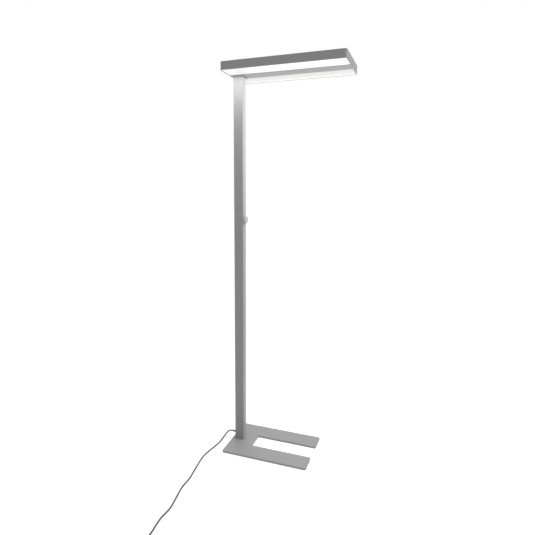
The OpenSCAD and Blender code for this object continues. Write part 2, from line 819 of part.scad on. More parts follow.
module corner_pieces() {
  mid_x = head_x + head_l / 2;
  color("silver") for (sx = [0, 1], sy = [0, 1])
    translate([mid_x, 0, head_z]) mirror([sx, 0, 0]) mirror([0, sy, 0])
      translate([head_r - head_l / 2, head_r - head_w / 2, 0]) rotate([0, 0, 180]) rotate_extrude(angle = 90)
        translate([head_r, 0]) mirror([1, 0]) rail_section();
}

// Angles that join the spine to the ends of the frame
module end_brackets() {
  color("lightgray") difference() {
    for (x = [spine_x, spine_x + spine_l - bracket_l])
      translate([x, -bracket_w / 2, head_z + rib_top]) cube([bracket_l, bracket_w, bracket_h]);
    translate([spine_x + bracket_t, -bracket_w / 2 - 1, head_z + rib_top + bracket_t])
      cube([spine_l - 2 * bracket_t, bracket_w + 2, bracket_h]);
    at_bracket_screws(head_z + rib_top - 1) cylinder(h = bracket_t + 2, r = small_r + hole_gap);
  }
}

module bracket_screws() {
  color("gray") at_bracket_screws(head_z + rib_top + bracket_t) pan_screw(bracket_t + rib_screw_l);
}

// ---- Panels and light boards ----

// A panel on the near side, between the spine and the frame
module near_panel(z, t) {
  translate([head_x + head_l / 2, -spine_half - panel_gap, head_z + z]) mirror([0, 1, 0])
    linear_extrude(t) panel_shape(panel_l, panel_w, panel_r);
}

module near_tray_shape() {
  difference() {
    near_panel(tray_z, tray_t);
    mirror([0, 1, 0]) at_tray_screws(head_z + tray_z - 1)
      cylinder(h = tray_t + 2, r = small_r + hole_gap);
  }
}

module near_tray() {
  color("white") near_tray_shape();
}

module far_tray() {
  color("white") mirror([0, 1, 0]) near_tray_shape();
}

module tray_screws() {
  color("gray") both_sides() at_tray_screws(head_z + tray_top) pan_screw(tray_t + lip_t + tray_screw_past);
}

module light_board(z) {
  translate([head_x + board_margin, window_mid - board_w / 2, head_z + z]) cube([board_l, board_w, board_t]);
}

module direct_boards() {
  color("whitesmoke") both_sides() light_board(direct_board_z);
}

module uplight_boards() {
  color("whitesmoke") both_sides() light_board(uplight_board_z);
}

module led_row(z) {
  step = board_l / led_count;
  first = head_x + board_margin + (step - led_size) / 2;
  for (i = [0:led_count - 1])
    translate([first + i * step, window_mid - led_size / 2, head_z + z])
      cube([led_size, led_size, led_h]);
}

module direct_leds() {
  color("khaki") both_sides() led_row(direct_board_z - led_h);
}

module uplight_leds() {
  color("khaki") both_sides() led_row(uplight_board_z + board_t);
}

module near_diffuser() {
  color("white") near_panel(lip_t, diffuser_t);
}

module far_diffuser() {
  color("white") mirror([0, 1, 0]) near_panel(lip_t, diffuser_t);
}

module near_uplight_cover() {
  color("white") near_panel(uplight_z, uplight_t);
}

module far_uplight_cover() {
  color("white") mirror([0, 1, 0]) near_panel(uplight_z, uplight_t);
}

// ---- Power inside the spine ----

module light_driver() {
  color("white") difference() {
    union() {
      translate([driver_x, -driver_w / 2, head_z + rib_top]) cube([driver_l, driver_w, driver_h]);
      translate([driver_x - driver_lug, -driver_w / 2, head_z + rib_top])
        cube([driver_l + 2 * driver_lug, driver_w, driver_lug_t]);
    }
    at_driver_screws(head_z + rib_top - 1) cylinder(h = driver_lug_t + 2, r = small_r + hole_gap);
  }
}

module driver_screws() {
  color("gray") at_driver_screws(head_z + rib_top + driver_lug_t) pan_screw(driver_lug_t + rib_screw_l);
}

module terminal_block() {
  color("ivory") translate([terminal_x, terminal_y[0], head_z + floor_t])
    cube([terminal_l, terminal_y[1] - terminal_y[0], terminal_h]);
}

module mains_link() {
  start = terminal_x + terminal_l;
  color("saddlebrown") for (y = link_y)
    translate([start, y, link_z]) rotate([0, 90, 0]) cylinder(h = driver_x - start, r = link_r);
}

module board_leads() {
  color("whitesmoke") both_sides() for (z = board_lead_z)
    translate([board_lead_x, driver_w / 2, head_z + z]) rotate([-90, 0, 0])
      cylinder(h = board_lead_l, r = board_lead_r);
}

// ---- Free cord ----

module from_mast() {
  translate([mast_x, 0, 0]) children();
}

cord_line = smooth_route(CORD_ROUTE, ring_step);

module power_cord() {
  color("dimgray") from_mast() tube(cord_line, cord_r, tube_sides);
}

function coil_r(t) = coil_inner_r + coil_pitch * abs(t - turns_in);
function coil_height(t) = coil_z + coil_rise * min(1, max(0, (t - turns_in + 0.25) / 0.5));
function coil_point(t) = let (a = 180 + 360 * t)
  [coil_mid[0] + coil_r(t) * cos(a), coil_mid[1] + coil_r(t) * sin(a), coil_height(t)];
coil_turn_line = [for (i = [0:coil_turns * rings_a_turn]) coil_point(i / rings_a_turn)];
coil_line = concat(
  [coil_turn_line[0] + [0, cord_d, 0]],
  coil_turn_line,
  [coil_turn_line[len(coil_turn_line) - 1] + [cord_d, 0, 0]]
);
coil_end = coil_line[len(coil_line) - 1];
plug_line = smooth_route([for (p = PLUG_ROUTE) p + coil_end], ring_step);
plug_at = plug_line[len(plug_line) - 1];
coil_gap = min([
  for (i = [0:len(coil_turn_line) - 1], j = [0:len(coil_turn_line) - 1])
    if (j - i > rings_a_turn / 2) norm(coil_turn_line[j] - coil_turn_line[i])
]) - cord_d;
echo(coil_gap = coil_gap, coil_starts = coil_line[0], coil_ends = coil_end, plug_starts = plug_at);
echo(cord = length_of(cord_line), coil = length_of(coil_line), plug_lead = length_of(plug_line));

module cord_coil() {
  color("dimgray") from_mast() tube(coil_line, cord_r, coil_sides);
}

// A band round all the turns at one place
module coil_tie() {
  l = tie_out_r - tie_in_r;
  h = tie_high - tie_low;
  color("black") from_mast() translate([coil_mid[0], coil_mid[1], 0]) rotate([0, 0, tie_angle])
    translate([tie_in_r, tie_w / 2, tie_low]) rotate([90, 0, 0]) linear_extrude(tie_w) difference() {
      translate([-tie_t, -tie_t]) rounded_rect(l + 2 * tie_t, h + 2 * tie_t, tie_r + tie_t);
      rounded_rect(l, h, tie_r);
    }
}

module plug_lead() {
  color("dimgray") from_mast() tube(plug_line, cord_r, tube_sides);
}

module at_plug() {
  from_mast() translate(plug_at) rotate([0, 90, 0]) children();
}

module plug_body() {
  color("dimgray") at_plug() difference() {
    rotate_extrude() polygon([
      [0, 0], [cord_r + 0.8, 0], [cord_r + 2.2, plug_sleeve_l], [8.5, plug_sleeve_l + 1],
      [13, plug_sleeve_l + 6], [plug_r - 1.5, plug_sleeve_l + 15], [plug_r, plug_sleeve_l + 19],
      [plug_r, plug_l - 1], [plug_r - 1, plug_l], [0, plug_l]
    ]);
    for (y = [-pin_gap / 2, pin_gap / 2]) translate([0, y, plug_l - pin_root])
      cylinder(h = pin_root + 1, r = pin_root_r + hole_gap);
    for (s = [0, 1]) mirror([s, 0, 0])
      translate([plug_r - clip_depth, -clip_w / 2 - clip_play, plug_l - clip_l])
        cube([clip_depth + 1, clip_w + 2 * clip_play, clip_l + 1]);
  }
}

// A pin's root is thinner than the length that stands out of the plug
module plug_pins() {
  color("silver") at_plug() for (y = [-pin_gap / 2, pin_gap / 2]) translate([0, y, plug_l]) {
    translate([0, 0, -pin_root]) cylinder(h = pin_root + pin_neck + eps, r = pin_root_r);
    translate([0, 0, pin_neck]) cylinder(h = pin_l - pin_neck - pin_tip, r = pin_r);
    translate([0, 0, pin_l - pin_tip]) cylinder(h = pin_tip, r1 = pin_r, r2 = pin_r - pin_tip * 0.9);
  }
}

// Spring contacts in the two grooves of the plug
module earth_clips() {
  color("silver") at_plug() for (s = [0, 1]) mirror([s, 0, 0])
    translate([plug_r - clip_depth, -clip_w / 2, plug_l - clip_l])
      cube([clip_t, clip_w, clip_l - clip_play]);
}

base_plate();
base_pads();
mast_screws();
mast();
cord_gland();
gland_nut();
inner_mains_lead();
encoder_body();
encoder_rotor();
dimmer_shaft();
dimmer_knob();
knob_set_screw();
dimmer_washer();
dimmer_nut();
dimmer_board();
board_connector();
switch_dome();
control_lead();
head_adapter();
adapter_screws();
head_bolts();
head_nuts();
spine_profile();
spine_strip();
strip_screws();
near_rail();
far_rail();
mast_end_rail();
free_end_rail();
corner_pieces();
end_brackets();
bracket_screws();
near_tray();
far_tray();
tray_screws();
direct_boards();
uplight_boards();
direct_leds();
uplight_leds();
near_diffuser();
far_diffuser();
near_uplight_cover();
far_uplight_cover();
light_driver();
driver_screws();
terminal_block();
mains_link();
board_leads();
power_cord();
cord_coil();
coil_tie();
plug_lead();
plug_body();
plug_pins();
earth_clips();
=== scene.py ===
import math

import bmesh
import bpy
from mathutils import Matrix, Vector


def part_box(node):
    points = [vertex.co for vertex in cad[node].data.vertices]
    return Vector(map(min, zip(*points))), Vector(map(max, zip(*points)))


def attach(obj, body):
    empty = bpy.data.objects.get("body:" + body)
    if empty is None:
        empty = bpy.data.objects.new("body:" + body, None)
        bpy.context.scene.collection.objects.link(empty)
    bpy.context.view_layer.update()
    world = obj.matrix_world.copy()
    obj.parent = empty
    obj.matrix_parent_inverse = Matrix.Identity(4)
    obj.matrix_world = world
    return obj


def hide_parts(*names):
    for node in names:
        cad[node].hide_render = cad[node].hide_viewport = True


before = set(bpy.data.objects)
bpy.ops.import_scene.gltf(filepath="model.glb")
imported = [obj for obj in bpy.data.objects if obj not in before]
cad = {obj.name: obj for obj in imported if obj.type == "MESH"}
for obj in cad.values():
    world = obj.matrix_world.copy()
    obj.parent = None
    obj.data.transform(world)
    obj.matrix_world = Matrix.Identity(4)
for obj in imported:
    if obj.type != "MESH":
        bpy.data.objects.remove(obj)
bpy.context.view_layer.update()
scene = bpy.context.scene

# fitted to the corners of the head, the post and the base: metres, degrees, and pixels for focal and frame
shot = {
    "place": (0.660871, -2.098531, 1.341774),
    "yaw": 19.896576,
    "pitch": -9.206669,
    "roll": 0.370176,
    "focal": 442.17122,
    "frame": 535,
    "sensor": 36,
    "clip": (0.05, 80),
}


def makeCamera():
    yaw, pitch, roll = (math.radians(shot[k]) for k in ("yaw", "pitch", "roll"))
    ahead = Vector((-math.sin(yaw) * math.cos(pitch), math.cos(yaw) * math.cos(pitch), math.sin(pitch)))
    level = Vector((math.cos(yaw), math.sin(yaw), 0))
    upright = level.cross(ahead)
    across = math.cos(roll) * level + math.sin(roll) * upright
    above = math.cos(roll) * upright - math.sin(roll) * level
    lens = bpy.data.cameras.new("camera")
    lens.sensor_width = shot["sensor"]
    lens.lens = shot["focal"] / shot["frame"] * shot["sensor"]
    lens.clip_start, lens.clip_end = shot["clip"]
    eye = bpy.data.objects.new("camera", lens)
    scene.collection.objects.link(eye)
    facing = Matrix((across, above, -ahead)).transposed().to_4x4()
    eye.matrix_world = Matrix.Translation(shot["place"]) @ facing
    scene.camera = eye


makeCamera()
print("camera set")


class Wire:
    # an output socket; each operator on it adds a Math node
    def __init__(self, sheet, node, out=0):
        self.sheet, self.node, self.out = sheet, node, out

    @property
    def socket(self):
        return self.node.outputs[self.out]

    def at(self, out):
        return Wire(self.sheet, self.node, out)

    def maths(self, operation, first, second=0.0):
        return self.sheet.add("ShaderNodeMath", {"operation": operation}, {0: first, 1: second})

    def __add__(self, other):
        return self.maths("ADD", self, other)

    def __radd__(self, other):
        return self.maths("ADD", other, self)

    def __sub__(self, other):
        return self.maths("SUBTRACT", self, other)

    def __rsub__(self, other):
        return self.maths("SUBTRACT", other, self)

    def __mul__(self, other):
        return self.maths("MULTIPLY", self, other)

    def __truediv__(self, other):
        return self.maths("DIVIDE", self, other)

    def __lt__(self, other):
        return self.maths("LESS_THAN", self, other)

    def size(self):
        return self.maths("ABSOLUTE", self)

    def least(self, other):
        return self.maths("MINIMUM", self, other)

    def most(self, other):
        return self.maths("MAXIMUM", self, other)


class Sheet:
    # one node tree
    def __init__(self, tree):
        self.tree = tree
        tree.nodes.clear()

    def add(self, kind, settings=None, inputs=None, out=0):
        node = self.tree.nodes.new(kind)
        for key, value in (settings or {}).items():
            if key == "stops":
                ramp = node.color_ramp.elements
                for place, colour in value[1:-1]:
                    ramp.new(place).color = colour
                ramp[0].position, ramp[0].color = value[0]
                ramp[-1].position, ramp[-1].color = value[-1]
            else:
                setattr(node, key, value)
        for key, value in (inputs or {}).items():
            if isinstance(value, Wire):
                self.tree.links.new(value.socket, node.inputs[key])
            else:
                node.inputs[key].default_value = value
        return Wire(self, node, out)

    def place(self):
        return self.add("ShaderNodeTexCoord", out="Object")

    def turned(self, spot, scale=(1, 1, 1), turn=(0, 0, 0), move=(0, 0, 0)):
        return self.add("ShaderNodeMapping", None, {
            "Vector": spot, "Location": move, "Rotation": turn, "Scale": scale,
        })

    def parts(self, spot):
        return self.add("ShaderNodeSeparateXYZ", None, {0: spot})

    def noise(self, spot, scale, detail=2.0, rough=0.5):
        return self.add("ShaderNodeTexNoise", None, {
            "Vector": spot, "Scale": scale, "Detail": detail, "Roughness": rough,
        })

    def cells(self, spot, scale, spread=1.0):
        return self.add("ShaderNodeTexVoronoi", None, {"Vector": spot, "Scale": scale, "Randomness": spread})

    def ramp(self, factor, stops):
        return self.add("ShaderNodeValToRGB", {"stops": [(p, (v, v, v, 1)) for p, v in stops]}, {0: factor})

    def tints(self, factor, first, second):
        return self.add("ShaderNodeMix", {"data_type": "RGBA"}, {0: factor, 6: first, 7: second}, 2)

    def bump(self, height, depth):
        return self.add("ShaderNodeBump", None, {"Height": height, "Distance": depth, "Strength": 1.0})


def tone(red, green, blue):
    # 0 to 255 as the eye sees it, to the linear light that Blender works in
    shares = [c / 255 for c in (red, green, blue)]
    return (*(s / 12.92 if s < 0.0404 else ((s + 0.055) / 1.055) ** 2.4 for s in shares), 1)


def shaded(colour, by):
    return (*(min(1, c * by) for c in colour[:3]), 1)


def spreadTints(sheet, factor, colour, look):
    # the colour between its darkest and its lightest tone
    return sheet.tints(factor, shaded(colour, look["dark"]), shaded(colour, look["light"]))


def newFinish(name):
    material = bpy.data.materials.new(name)
    material.use_nodes = True
    return material, Sheet(material.node_tree)


def surface(sheet, inputs):
    shader = sheet.add("ShaderNodeBsdfPrincipled", None, inputs)
    sheet.add("ShaderNodeOutputMaterial", None, {"Surface": shader})


def powderCoat(name, colour, look):
    # baked powder: an orange-peel skin, fine grains in it, slow clouds in the colour, and smoother patches
    material, sheet = newFinish(name)
    spot = sheet.place()
    peel = sheet.noise(spot, look["peel"], 1.5)
    grain = sheet.noise(spot, look["grain"], 1.0)
    cloud = sheet.noise(spot, look["cloud"], 3.0, 0.55)
    patches = sheet.noise(sheet.turned(spot, move=look["patchMove"]), look["patch"], 4.0, 0.6)
    handled = sheet.ramp(patches, [(0.45, 0), (0.72, 1)])
    base = spreadTints(sheet, cloud, colour, look)
    surface(sheet, {
        "Base Color": sheet.tints(grain * look["speckle"], base, shaded(colour, look["glint"])),
        "Roughness": look["rough"] + (grain - 0.5) * look["uneven"] - handled * look["handled"],
        "Metallic": look["metal"],
        "Specular IOR Level": look["shine"],
        "Normal": sheet.bump(peel + grain * look["grainShare"], look["depth"]),
    })
    return material


def brushedMetal(name, colour, look):
    # fine lines along one axis, as a belt or a lathe leaves them
    material, sheet = newFinish(name)
    spot = sheet.place()
    lines = sheet.noise(sheet.turned(spot, look["stretch"]), look["lines"], 2.0, 0.6)
    cloud = sheet.noise(spot, look["cloud"], 2.0)
    surface(sheet, {
        "Base Color": spreadTints(sheet, lines * 0.6 + cloud * 0.4, colour, look),
        "Roughness": look["rough"] + (lines - 0.5) * look["uneven"],
        "Metallic": look["metal"],
        "Normal": sheet.bump(lines, look["depth"]),
    })
    return material


def turnedDisc(name, colour, look):
    # rings round the knob's middle on its face, and a fine grain all over
    material, sheet = newFinish(name)
    spot = sheet.place()
    axes = sheet.parts(spot)
    side, tall = axes.at(1), axes.at(2) - look["height"]
    reach = sheet.add("ShaderNodeMath", {"operation": "SQRT"}, {0: side * side + tall * tall})
    rings = sheet.noise(sheet.add("ShaderNodeCombineXYZ", None, {0: reach}), look["rings"], 2.0, 0.6)
    grain = sheet.noise(spot, look["grain"], 1.0)
    mixed = rings * 0.7 + grain * 0.3
    surface(sheet, {
        "Base Color": spreadTints(sheet, mixed, colour, look),
        "Roughness": look["rough"] + (rings - 0.5) * look["uneven"],
        "Metallic": look["metal"],
        "Normal": sheet.bump(mixed, look["depth"]),
    })
    return material


def mouldedPlastic(name, colour, look):
    # spark-eroded texture with slow colour clouds and a few lighter rubs
    material, sheet = newFinish(name)
    spot = sheet.place()
    pits = sheet.cells(spot, look["pits"], 0.9)
    cloud = sheet.noise(spot, look["cloud"], 3.0)
    rub = sheet.ramp(sheet.noise(spot, look["cloud"] * 4, 4.0, 0.65), [(0.55, 0), (0.8, 1)])
    base = spreadTints(sheet, cloud, colour, look)
    surface(sheet, {
        "Base Color": sheet.tints(rub * look["rub"], base, shaded(colour, look["rubbed"])),
        "Roughness": look["rough"] + (cloud - 0.5) * look["uneven"] + rub * look["duller"],
        "Specular IOR Level": look["shine"],
        "Normal": sheet.bump(pits, look["depth"]),
    })
    return material


def litPanel(name, colour, look):
    # acrylic lit from behind: a little dimmer at its rim, and dimmer next to the post and on the far side,
    # where the dimming is painted shade in its glow
    material, sheet = newFinish(name)
    spot = sheet.place()
    axes = sheet.parts(spot)
    across = (axes.at(1).size() - look["middle"]).size() / look["half"]
    away = (axes.at(0) - look["centre"]).size() / look["reach"]
    rim = 1 - sheet.ramp(across, [(0.0, 0), (0.7, 0.12), (1.0, 1)]) * look["fall"]
    ends = 1 - sheet.ramp(away, [(0.0, 0), (0.86, 0.1), (1.0, 1)]) * look["fall"]
    near = axes.at(1) < 0
    openEnd = ((axes.at(0) - look["step"]) * look["steep"]).most(0).least(1)
    frost = sheet.noise(spot, look["frost"], 2.0)
    even = rim * ends * (1 - (frost - 0.5) * look["grainy"])
    # painted shade: the glow is turned down on the near panel next to the post and on the whole far panel
    nearMore = look["farPaintedShade"] - look["postPaintedShade"] + openEnd * look["postPaintedShade"]
    glow = even * (1 - look["farPaintedShade"] + near * nearMore)
    surface(sheet, {
        "Base Color": spreadTints(sheet, frost, colour, look),
        "Roughness": look["rough"] + (frost - 0.5) * look["uneven"],
        "Emission Color": sheet.tints(glow, (0, 0, 0, 1), look["glow"]),
        "Emission Strength": look["power"],
        "Normal": sheet.bump(frost, look["depth"]),
    })
    return material


def cordSkin(name, colour, look):
    # soft PVC: a faint ripple of the twisted wires inside, with matt and glossier patches and some dust
    material, sheet = newFinish(name)
    spot = sheet.place()
    patch = sheet.noise(spot, look["patch"], 3.0, 0.6)
    grain = sheet.noise(spot, look["grain"], 1.0)
    ripple = sheet.noise(spot, look["ripple"], 1.0)
    dust = sheet.ramp(sheet.noise(spot, look["dust"], 4.0, 0.7), [(0.56, 0), (0.75, 1)])
    base = spreadTints(sheet, patch, colour, look)
    surface(sheet, {
        "Base Color": sheet.tints(dust * look["dusty"], base, look["dustTone"]),
        "Roughness": look["rough"] + (patch - 0.5) * look["uneven"] + dust * look["duller"],
        "Specular IOR Level": look["shine"],
        "Normal": sheet.bump(ripple * 0.8 + grain * 0.2, look["depth"]),
    })
    return material


def circuitBoard(name, colour, look):
    # solder mask with tracks under it and bare tinned pads
    material, sheet = newFinish(name)
    spot = sheet.place()
    tracks = sheet.add("ShaderNodeTexBrick", {"offset": 0.5}, {
        "Vector": sheet.turned(spot, turn=look["turn"]), "Scale": look["scale"], "Color1": (1, 1, 1, 1),
        "Color2": (0.6, 0.6, 0.6, 1), "Mortar": (0, 0, 0, 1), "Mortar Size": 0.03, "Row Height": 0.35,
    })
    dots = sheet.cells(spot, look["dots"]) < look["dotSize"]
    base = spreadTints(sheet, tracks, colour, look)
    surface(sheet, {
        "Base Color": sheet.tints(dots, base, look["tin"]),
        "Roughness": look["rough"] - dots * look["smoother"],
        "Metallic": dots * look["tinMetal"],
        "Normal": sheet.bump(tracks + dots, look["depth"]),
    })
    return material


# the lamp's powder coat; here and below a pattern's value is the scale of its noise, and finer as it grows
coat = {
    "grey": tone(158, 157, 158),
    "white": tone(226, 226, 224),
    "dark": 0.97,
    "light": 1.03,
    "rough": 0.46,
    "uneven": 0.12,
    "metal": 0.06,
    "shine": 0.5,
    "peel": 520.0,
    "grain": 2100.0,
    "grainShare": 0.35,
    "cloud": 5.0,
    "speckle": 0.06,
    "glint": 1.5,
    "patch": 3.4,
    "patchMove": (3.1, 1.7, 0.4),
    "handled": 0.05,
    "depth": 0.00002,
}
# moulded plastic and rubber
plastic = {
    "dark": 0.9, "light": 1.1, "rough": 0.5, "uneven": 0.1, "shine": 0.45, "pits": 1400.0, "cloud": 25.0,
    "rub": 0.1, "rubbed": 1.6, "duller": 0.06, "depth": 0.00003,
}
# bare and plated metal
metal = {
    "dark": 0.86, "light": 1.1, "rough": 0.32, "uneven": 0.2, "metal": 1.0, "lines": 900.0,
    "stretch": (0.06, 1, 1), "cloud": 40.0, "depth": 0.00001,
}
# the skin of the leads
jacket = {
    "dark": 0.88, "light": 1.12, "uneven": 0.16, "patch": 60.0, "grain": 2600.0, "ripple": 150.0,
    "dust": 300.0, "dusty": 0.12, "dustTone": tone(150, 148, 144), "duller": 0.1,
}
# circuit boards: their solder mask and tinned pads
board = {
    "dark": 0.8, "light": 1.15, "rough": 0.42, "smoother": 0.15, "dotSize": 0.13, "tin": tone(205, 203, 196),
    "tinMetal": 0.9, "depth": 0.00003,
}
# lit panels: middle and half width across the head, centre and reach along it, and what their light loses:
# fall at the rim, and as painted shade postPaintedShade on the near one from the post up to step, and
# farPaintedShade on the far one
panel = {
    "middle": 0.08775, "half": 0.0525, "centre": 0.0055, "reach": 0.294,
    "glow": (1, 0.995, 0.985, 1), "power": 0.58, "fall": 0.04, "grainy": 0.03,
    "step": -0.155, "steep": 50.0, "postPaintedShade": 0.23, "farPaintedShade": 0.52,
    "frost": 1200.0, "dark": 0.97, "light": 1.02, "rough": 0.42, "uneven": 0.08, "depth": 0.00001,
}

finishes = {
    "base_coat": powderCoat("baseCoat", coat["grey"], {
        **coat, "rough": 0.5, "peel": 430.0, "dark": 0.965, "light": 1.035,
    }),
    "mast_coat": powderCoat("mastCoat", coat["grey"], coat),
    "head_coat": powderCoat("headCoat", coat["grey"], coat),
    "tray_coat": powderCoat("trayCoat", coat["white"], {**coat, "rough": 0.5, "metal": 0.0}),
    "knob_coat": turnedDisc("knobCoat", tone(176, 177, 178), {
        "height": sum(corner.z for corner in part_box("dimmer_knob")) / 2, "rings": 1500.0, "grain": 1500.0,
        "dark": 0.9, "light": 1.1, "rough": 0.34, "uneven": 0.16, "metal": 0.55, "depth": 0.00001,
    }),
    "bare_aluminium": brushedMetal("bareAluminium", tone(205, 206, 208), metal),
    "zinc_steel": brushedMetal("zincSteel", tone(186, 188, 190), {
        **metal, "stretch": (1, 1, 0.3), "lines": 1300.0, "rough": 0.36,
    }),
    "spring_steel": brushedMetal("springSteel", tone(196, 194, 188), {**metal, "rough": 0.24}),
    "nickel_pins": brushedMetal("nickelPins", tone(212, 208, 198), {**metal, "rough": 0.2, "lines": 1600.0}),
    "pad_rubber": mouldedPlastic("padRubber", tone(48, 48, 49), {
        **plastic, "rough": 0.82, "shine": 0.25, "depth": 0.00006,
    }),
    "grey_nylon": mouldedPlastic("greyNylon", tone(98, 99, 101), plastic),
    "black_nylon": mouldedPlastic("blackNylon", tone(38, 38, 40), {**plastic, "rough": 0.6}),
    "white_nylon": mouldedPlastic("whiteNylon", tone(228, 226, 220), plastic),
    "driver_case": mouldedPlastic("driverCase", tone(232, 231, 228), {**plastic, "rough": 0.44}),
    "plug_pvc": mouldedPlastic("plugVinyl", tone(62, 62, 64), {
        **plastic, "rough": 0.56, "pits": 1100.0, "depth": 0.00004,
    }),
    "led_resin": mouldedPlastic("ledResin", tone(240, 214, 120), {**plastic, "rough": 0.35}),
    "green_board": circuitBoard("greenBoard", tone(34, 92, 60), {
        **board, "scale": 220.0, "dots": 260.0, "turn": (0, math.pi / 2, 0),
    }),
    "white_board": circuitBoard("whiteBoard", tone(228, 228, 224), {
        **board, "scale": 90.0, "dots": 120.0, "turn": (0, 0, 0),
    }),
    "opal_acrylic": litPanel("opalAcrylic", tone(184, 184, 183), panel),
    "satin_acrylic": litPanel("satinAcrylic", tone(232, 233, 234), {
        **panel, "power": 0.45, "postPaintedShade": 0.0, "farPaintedShade": 0.0, "rough": 0.34,
    }),
    "lead_jacket": cordSkin("leadJacket", tone(70, 70, 72), {
        **jacket, "rough": 0.5, "shine": 0.4, "depth": 0.00003,
    }),
    "wire_jacket": cordSkin("wireJacket", tone(120, 84, 60), {
        **jacket, "rough": 0.45, "shine": 0.45, "depth": 0.00002,
    }),
    "cord_pvc": cordSkin("cordVinyl", tone(72, 72, 74), {
        **jacket, "rough": 0.48, "shine": 0.4, "depth": 0.00005,
    }),
}
slotOf = {name: piece.data.materials[0].name for name, piece in cad.items()}
for name, piece in cad.items():
    piece.material_slots[0].material = finishes[slotOf[name]]
print("finishes:", len(finishes))

# metres and degrees: points closer than weld or seam become one, faces at less than flat to each other are
# joined, and an edge is eased from easeFrom on and drawn sharp from sharp on
shaping = {"weld": 2e-6, "seam": 1e-7, "flat": 0.4, "easeFrom": 30, "sharp": 32}


def settle(bm, name, body, slotName, swaps=(), sharp=shaping["sharp"], even=True):
    # writes the mesh out as a piece of the lamp
    mesh = bpy.data.meshes.new(name)
    bm.to_mesh(mesh)
    bm.free()
    mesh.shade_smooth()
    mesh.set_sharp_from_angle(angle=math.radians(sharp))
    piece = bpy.data.objects.new(name, mesh)
    scene.collection.objects.link(piece)
    mesh.materials.append(finishes[slotName])
    if even:
        normals = piece.modifiers.new("evenNormals", "WEIGHTED_NORMAL")
        normals.keep_sharp = True
    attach(piece, body)
    if swaps:
        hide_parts(*swaps)
    return piece


def easedCopy(node, name, body, ease, segments=2):
    # the node's own shape with its sharp edges eased
    bm = bmesh.new()
    bm.from_mesh(cad[node].data)
    bmesh.ops.remove_doubles(bm, verts=bm.verts, dist=shaping["weld"])
    flat, least = math.radians(shaping["flat"]), math.radians(shaping["easeFrom"])
    bmesh.ops.dissolve_limit(bm, angle_limit=flat, verts=bm.verts, edges=bm.edges)
    if ease:
        edges = [e for e in bm.edges if len(e.link_faces) == 2 and e.calc_face_angle(0) > least]
        bmesh.ops.bevel(
            bm, geom=edges, offset=ease, offset_type="OFFSET", affect="EDGES", segments=segments,
            profile=0.5, material=-1, clamp_overlap=True,
        )
    return settle(bm, name, body, slotOf[node], (node,))


def spunRound(bm, outline, centre, axis, steps):
    # turns a closed outline of points once round an axis
    corners = [bm.verts.new(p) for p in outline]
    edges = [bm.edges.new((corners[i], corners[(i + 1) % len(corners)])) for i in range(len(corners))]
    bmesh.ops.spin(
        bm, geom=corners + edges, cent=centre, axis=axis, dvec=(0, 0, 0), angle=2 * math.pi,
        steps=steps, use_merge=True, use_duplicate=False,
    )
    bmesh.ops.remove_doubles(bm, verts=bm.verts, dist=shaping["seam"])
    bmesh.ops.recalc_face_normals(bm, faces=bm.faces)


# metres; the routes are measured from the post's back face, and the plug's lead from where the coil ends
cordLook = {
    "radius": 0.0035,
    "back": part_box("mast")[0].x,
    "route": [
        (-0.024, 0, 0.043), (-0.034, 0, 0.0422), (-0.0443, -0.0004, 0.0385),
        (-0.0532, -0.0019, 0.0315), (-0.0615, -0.0056, 0.0204), (-0.0674, -0.0136, 0.0107),
        (-0.0709, -0.0248, 0.0051), (-0.0714, -0.0392, 0.0036), (-0.0698, -0.0572, 0.0035),
        (-0.0705, -0.0792, 0.0035), (-0.0735, -0.103, 0.0035), (-0.0795, -0.1421, 0.0035),
        (-0.0865, -0.1831, 0.0035), (-0.0895, -0.2252, 0.0035), (-0.0865, -0.2633, 0.0035),
        (-0.0815, -0.2973, 0.0035), (-0.0765, -0.3314, 0.0035), (-0.0715, -0.3634, 0.0035),
        (-0.0665, -0.3955, 0.0035), (-0.0645, -0.4275, 0.0035), (-0.0655, -0.4585, 0.0035),
        (-0.0635, -0.4886, 0.0035), (-0.0585, -0.5166, 0.0035), (-0.0535, -0.5437, 0.0035),
        (-0.0485, -0.5697, 0.0035), (-0.0435, -0.5958, 0.0035), (-0.0405, -0.6218, 0.0035),
        (-0.0415, -0.6478, 0.0035), (-0.0443, -0.6752, 0.0035), (-0.043, -0.7006, 0.0035),
        (-0.0407, -0.7251, 0.0035), (-0.0364, -0.7495, 0.0035), (-0.0341, -0.7749, 0.0035),
        (-0.033, -0.8, 0.004), (-0.033, -0.822, 0.0046), (-0.033, -0.843, 0.0046),
    ],
    "plugRoute": [
        (0, 0, 0), (0.01, 0, 0), (0.021, 0, 0.002),
        (0.032, 0, 0.0055), (0.043, 0, 0.0073), (0.054, 0, 0.0073),
    ],
    "stepsAPoint": 6,
    "coilMiddle": (0.021, -0.85),
    "coilInner": 0.02775,
    "coilPitch": 0.0075,
    "coilRise": 0.0076,
    "coilHeight": 0.0045,
    "turnsIn": 3.5,  # the lower layer's turns, which wind inwards; the upper layer winds out again
    "turns": 7.25,
    "riseTurns": 0.5,
    "stepsATurn": 40,
    "lead": 0.007,  # straight length past the coil
    "roundness": 6,
}


def smoothRoute(points, steps):
    # a Catmull-Rom curve through the points
    points = [Vector(p) for p in points]
    ends = [2 * points[0] - points[1], *points, 2 * points[-1] - points[-2]]
    line = []
    for a, b, c, d in zip(ends, ends[1:], ends[2:], ends[3:]):
        squared, cubed = 2 * a - 5 * b + 4 * c - d, 3 * b - a - 3 * c + d
        for k in range(steps):
            t = k / steps
            line.append(0.5 * (2 * b + (c - a) * t + squared * t * t + cubed * t ** 3))
    return [*line, points[-1]]


